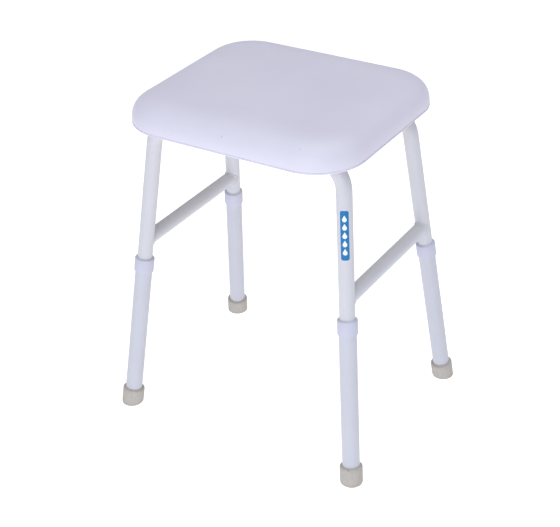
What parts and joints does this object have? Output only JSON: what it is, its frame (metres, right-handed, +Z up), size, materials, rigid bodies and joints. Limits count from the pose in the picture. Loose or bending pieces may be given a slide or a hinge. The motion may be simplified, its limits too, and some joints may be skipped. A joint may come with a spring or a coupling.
{
  "type": "shower stool",
  "caption": "Height-adjustable shower stool with a rounded moulded foam seat on two bent tube hoops, side braces, sliding outer legs with snap buttons, and rubber feet.",
  "frame": {"origin": "on the floor, midway between the four feet, under the centre of the seat", "axes": "+Z up, +X to the stool's right along the seat's long side, -Y to the front; the label is on the front right leg"},
  "size_m": [0.4242, 0.3352, 0.518],
  "materials": {
    "pad_foam": "satin moulded skin, fine grain",
    "board_ply": "sealed birch plywood",
    "frame_paint": "satin powder coat",
    "leg_paint": "satin powder coat",
    "collar_plastic": "matte moulded",
    "foot_rubber": "matte",
    "saddle_plastic": "matte moulded",
    "fixing_steel": "zinc plated",
    "spring_steel": "blued spring strip",
    "button_steel": "bright plated",
    "label_film": "gloss printed film"
  },
  "bodies": {
    "frame": {"front_frame_hoop": "frame_paint", "rear_frame_hoop": "frame_paint", "left_brace": "frame_paint", "right_brace": "frame_paint", "seat_pad": "pad_foam", "seat_base_board": "board_ply", "tee_nuts": "fixing_steel", "seat_screws": "fixing_steel", "saddle_washers": "saddle_plastic", "frame_label": "label_film", "button_spring_front_left": "spring_steel", "button_spring_front_right": "spring_steel", "button_spring_rear_left": "spring_steel", "button_spring_rear_right": "spring_steel"},
    "leg_front_left": {"outer_leg_front_left": "leg_paint", "collar_front_left": "collar_plastic", "ferrule_front_left": "foot_rubber", "ferrule_disc_front_left": "fixing_steel"},
    "button_front_left": {"snap_button_front_left": "button_steel"},
    "leg_front_right": {"outer_leg_front_right": "leg_paint", "collar_front_right": "collar_plastic", "ferrule_front_right": "foot_rubber", "ferrule_disc_front_right": "fixing_steel"},
    "button_front_right": {"snap_button_front_right": "button_steel"},
    "leg_rear_left": {"outer_leg_rear_left": "leg_paint", "collar_rear_left": "collar_plastic", "ferrule_rear_left": "foot_rubber", "ferrule_disc_rear_left": "fixing_steel"},
    "button_rear_left": {"snap_button_rear_left": "button_steel"},
    "leg_rear_right": {"outer_leg_rear_right": "leg_paint", "collar_rear_right": "collar_plastic", "ferrule_rear_right": "foot_rubber", "ferrule_disc_rear_right": "fixing_steel"},
    "button_rear_right": {"snap_button_rear_right": "button_steel"}
  },
  "joints": [
    {"name": "height_front_left", "type": "slide", "parent": "frame", "child": "leg_front_left", "axis": [-0.0958, -0.123, -0.9878], "range_m": [0, 0.15]},
    {"name": "press_front_left", "type": "slide", "parent": "frame", "child": "button_front_left", "axis": [0, -0.9923, 0.1236], "range_m": [0, 0.0046], "stiffness_N_per_m": 1500, "springref_m": -0.002, "deforming": ["button_spring_front_left"]},
    {"name": "height_front_right", "type": "slide", "parent": "frame", "child": "leg_front_right", "axis": [0.0958, -0.123, -0.9878], "range_m": [0, 0.15]},
    {"name": "press_front_right", "type": "slide", "parent": "frame", "child": "button_front_right", "axis": [0, -0.9923, 0.1236], "range_m": [0, 0.0046], "stiffness_N_per_m": 1500, "springref_m": -0.002, "deforming": ["button_spring_front_right"]},
    {"name": "height_rear_left", "type": "slide", "parent": "frame", "child": "leg_rear_left", "axis": [-0.0958, 0.123, -0.9878], "range_m": [0, 0.15]},
    {"name": "press_rear_left", "type": "slide", "parent": "frame", "child": "button_rear_left", "axis": [0, -0.9923, -0.1236], "range_m": [0, 0.0046], "stiffness_N_per_m": 1500, "springref_m": -0.002, "deforming": ["button_spring_rear_left"]},
    {"name": "height_rear_right", "type": "slide", "parent": "frame", "child": "leg_rear_right", "axis": [0.0958, 0.123, -0.9878], "range_m": [0, 0.15]},
    {"name": "press_rear_right", "type": "slide", "parent": "frame", "child": "button_rear_right", "axis": [0, -0.9923, -0.1236], "range_m": [0, 0.0046], "stiffness_N_per_m": 1500, "springref_m": -0.002, "deforming": ["button_spring_rear_right"]}
  ]
}
